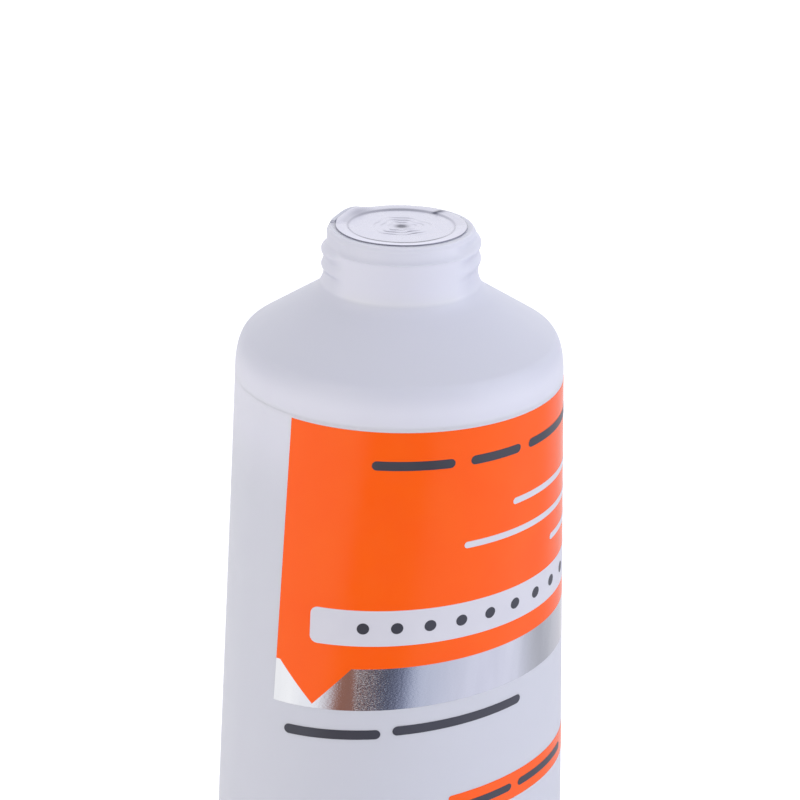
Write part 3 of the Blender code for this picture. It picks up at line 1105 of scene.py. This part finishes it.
def make_print(orange, silver, pale, dark):
    """The printed layers, each a little higher than the one under it."""
    right = mirrored(PANEL_LEFT)
    arcs = even_arcs(
        PANEL_LEFT,
        POINT_ARC - POINT_HALF_WIDTH,
        POINT_ARC,
        POINT_ARC + POINT_HALF_WIDTH,
        right,
    )
    rise = np.clip(1 - np.abs(arcs - POINT_ARC) / POINT_HALF_WIDTH, 0, 1)
    edge = PANEL_BOTTOM - PANEL_BOTTOM_RISE * (arcs - PANEL_LEFT)
    bottoms = edge + (POINT_DEPTH - edge) * rise
    panel = (arcs, np.full(len(arcs), PANEL_TOP), bottoms, PANEL_ROWS)
    print_layer("print_panel", *panel, LEVELS["panel"], orange, PANEL_LEAN)
    band = (arcs, edge - BAND_TUCK, np.full(len(arcs), BAND_BOTTOM), BAND_ROWS)
    print_layer("print_band", *band, LEVELS["band"], silver, PANEL_LEAN)
    window = (WINDOW_LEFT, mirrored(WINDOW_LEFT), WINDOW_TOP, WINDOW_BOTTOM, WINDOW_CORNER)
    rounded_layer("print_window", *window, LEVELS["window"], pale)
    stripe = (STRIPE_LEFT, mirrored(WINDOW_LEFT), STRIPE_TOP, STRIPE_BOTTOM, DOT_SIZE / 4)
    rounded_layer("print_stripe", *stripe, LEVELS["stripe"], orange)
    dark_rules = DARK_RULES + STRIPE_RULES
    for group, rules, material in (("dark", dark_rules, dark), ("pale", PALE_RULES, pale)):
        for number, (left, end, depth, height) in enumerate(rules):
            rounded_layer(
                f"print_{group}_rule_{number}",
                left,
                end,
                depth - height / 2,
                depth + height / 2,
                height / 2,
                LEVELS["rule"],
                material,
            )
    middle = (WINDOW_TOP + WINDOW_BOTTOM) / 2
    half = DOT_SIZE / 2
    for number in range(DOT_COUNT):
        arc = DOT_START + number * DOT_PITCH
        dot = (arc - half, arc + half, middle - half, middle + half, half)
        rounded_layer(f"print_dot_{number}", *dot, LEVELS["dot"], dark)


# ---------------------------------------------------------------- stage


def seen_rays(tree):
    """1 for camera, glossy and transmission rays, and 0 for the light on the object. Also
    the glossy rays alone."""
    rays = add(tree, "ShaderNodeLightPath").outputs
    seen = rays["Is Camera Ray"]
    for kind in ("Is Glossy Ray", "Is Transmission Ray"):
        both = add(
            tree, "ShaderNodeMath", links={0: seen, 1: rays[kind]}, operation="MAXIMUM"
        )
        seen = both.outputs[0]
    return seen, rays["Is Glossy Ray"]


def make_floor():
    """A pale floor that shows white but keeps the shadow. In reflections alone it carries
    a ramp of colours round the object, white behind it and greys and a brown in front,
    which gives the bright foils their dark streaks."""
    mesh = bpy.data.meshes.new("floor")
    corners = [(x * FLOOR_REACH, y * FLOOR_REACH, 0) for x, y in FLOOR_CORNERS]
    mesh.from_pydata(corners, [], [(0, 1, 2, 3)])
    floor = bpy.data.objects.new("floor", mesh)
    bpy.context.scene.collection.objects.link(floor)
    material = bpy.data.materials.new("pale_floor")
    material.use_nodes = True
    tree = material.node_tree
    tree.nodes.clear()
    where = add(tree, "ShaderNodeTexCoord").outputs["Object"]
    round_it = add(
        tree, "ShaderNodeTexGradient", links={"Vector": where}, gradient_type="RADIAL"
    )
    ramp = add(tree, "ShaderNodeValToRGB", links={0: round_it.outputs["Fac"]})
    stops = ramp.color_ramp.elements
    for number, (azimuth, colour) in enumerate(MAT_STOPS):
        place = azimuth / 360 + 0.5
        stop = stops[number] if number < 2 else stops.new(place)
        stop.position = place
        stop.color = linear(colour)
    seen, glossy = seen_rays(tree)
    matt = add(tree, "ShaderNodeBsdfDiffuse", {"Color": linear("#E6E6EA")})
    away = add(tree, "ShaderNodeVectorMath", links={0: where}, operation="LENGTH")
    lift = span(tree, away.outputs["Value"], FLOOR_LIFT, FAR_LIFT, NEAR_FLOOR, FAR_FLOOR)
    shown = product(tree, seen, lift)
    lit = add(tree, "ShaderNodeEmission", {"Color": (1, 1, 1, 1)}, {"Strength": shown})
    pale = add(tree, "ShaderNodeAddShader", links={0: matt.outputs[0], 1: lit.outputs[0]})
    colour = ramp.outputs["Color"]
    mat = add(tree, "ShaderNodeEmission", {"Strength": 1.0}, {"Color": colour})
    looks = {0: glossy, 1: pale.outputs[0], 2: mat.outputs[0]}
    both = add(tree, "ShaderNodeMixShader", links=looks)
    add(tree, "ShaderNodeOutputMaterial", links={"Surface": both.outputs[0]})
    mesh.materials.append(material)


def make_world():
    """A plain white sky, softer as a light than it looks."""
    world = bpy.data.worlds.new("studio")
    bpy.context.scene.world = world
    world.use_nodes = True
    tree = world.node_tree
    tree.nodes.clear()
    strength = span(tree, seen_rays(tree)[0], SKY_LIGHT, 1.0, 0, 1)
    sky = add(tree, "ShaderNodeBackground", {"Color": (1, 1, 1, 1)}, {"Strength": strength})
    add(tree, "ShaderNodeOutputWorld", links={"Surface": sky.outputs[0]})


def soft_box(name, place, power, colour, mirrored_in_foil):
    """A square area lamp that faces the tube."""
    lamp = bpy.data.lights.new(name, "AREA")
    lamp.shape = "SQUARE"
    lamp.size = LAMP_SIZE
    lamp.energy = power
    lamp.color = linear(colour)[:3]
    holder = bpy.data.objects.new(name, lamp)
    holder.visible_glossy = mirrored_in_foil
    bpy.context.scene.collection.objects.link(holder)
    away = np.array(place) - np.array(LAMP_AIM)
    flat = math.hypot(away[0], away[1])
    holder.location = place
    holder.rotation_euler = (math.atan2(flat, away[2]), 0, math.atan2(away[0], -away[1]))


def make_camera():
    """The camera of the view from the photograph's side."""
    lens = bpy.data.cameras.new("camera")
    lens.lens = CAMERA_LENS
    lens.sensor_width = CAMERA_SENSOR
    lens.clip_start = CAMERA_NEAR
    camera = bpy.data.objects.new("camera", lens)
    bpy.context.scene.collection.objects.link(camera)
    camera.location = CAMERA_PLACE
    camera.rotation_euler = [math.radians(angle) for angle in CAMERA_TURN]
    bpy.context.scene.camera = camera


make_camera()
make_floor()
make_world()
for lamp in LAMPS:
    soft_box(*lamp)

make_sleeve(polyethylene("extruded_polyethylene", "#CED0DC", "#D9DAE8", 9))
make_head(polyethylene("moulded_polyethylene", "#C9CBDA", "#DDDEEB", 1))
# The second colour of each foil is the dark of its painted shade
make_seal(sealing_foil("seal_aluminium", "#ECECFC", "#6A6B7C"))
make_tab(sealing_foil("tab_aluminium", "#CFD1E0", "#6E6F80"))
make_print(
    ink("orange_ink", "#FF5D08", "#FF610A", 0.16),
    stamped_foil(),
    ink("pale_ink", "#D2D2DE", "#D6D6E1", 0.3),
    ink("dark_ink", "#3F404A", "#464752", 0.28),
)
make_cream(cream_material())

bpy.context.scene.view_settings.view_transform = "Standard"
